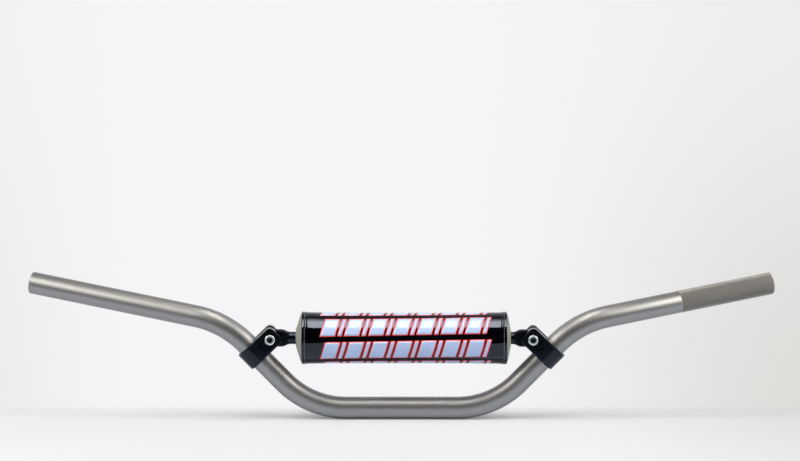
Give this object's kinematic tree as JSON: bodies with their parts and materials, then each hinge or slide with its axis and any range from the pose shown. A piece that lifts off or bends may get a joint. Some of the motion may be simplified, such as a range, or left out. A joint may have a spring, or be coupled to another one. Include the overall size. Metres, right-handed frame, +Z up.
{
  "type": "motorcycle handlebar",
  "caption": "Off-road motorcycle handlebar: bent aluminium tube with a knurled grip end, a bolted crossbar on split clamps, and a round sewn bar pad.",
  "frame": {"origin": "middle of the straight centre section's axis, where the fork's bar clamps hold it", "axes": "+X along the centre section to the rider's left (the knurled end), +Y to the rear, the way the grips sweep, +Z up"},
  "size_m": [0.7578, 0.0921, 0.1414],
  "materials": {
    "anodised_tube": "peened and hard anodised, titanium grey, satin",
    "black_rod": "satin black anodised",
    "black_clamp": "satin black anodised, chamfered edges bright",
    "zinc": "bright zinc plate",
    "nylon": "natural nylon",
    "foam": "closed-cell foam, skinned, grey beige",
    "vinyl": "glossy black coated vinyl",
    "strip": "black woven hook and loop",
    "thread": "grey blue sewing thread",
    "print_ink": "screen printed, white fill with a red outline"
  },
  "bodies": {
    "bar": {"bar_tube": "anodised_tube", "crossbar": "black_rod", "left_clamp": "black_clamp", "right_clamp": "black_clamp", "left_clamp_bolt": "zinc", "right_clamp_bolt": "zinc", "left_clamp_nut": "zinc", "right_clamp_nut": "zinc", "left_clamp_washer": "zinc", "right_clamp_washer": "zinc", "left_nut_insert": "nylon", "right_nut_insert": "nylon"},
    "pad": {"pad_foam": "foam", "pad_cover": "vinyl", "hook_strip": "strip", "loop_strip": "strip", "left_hem_thread": "thread", "right_hem_thread": "thread", "hook_strip_thread": "thread", "loop_strip_thread": "thread"}
  },
  "joints": [
    {"name": "pad_turn", "type": "hinge", "parent": "bar", "child": "pad", "pos_m": [0, 0, 0.07117], "axis": [1, 0, 0], "continuous": true}
  ]
}
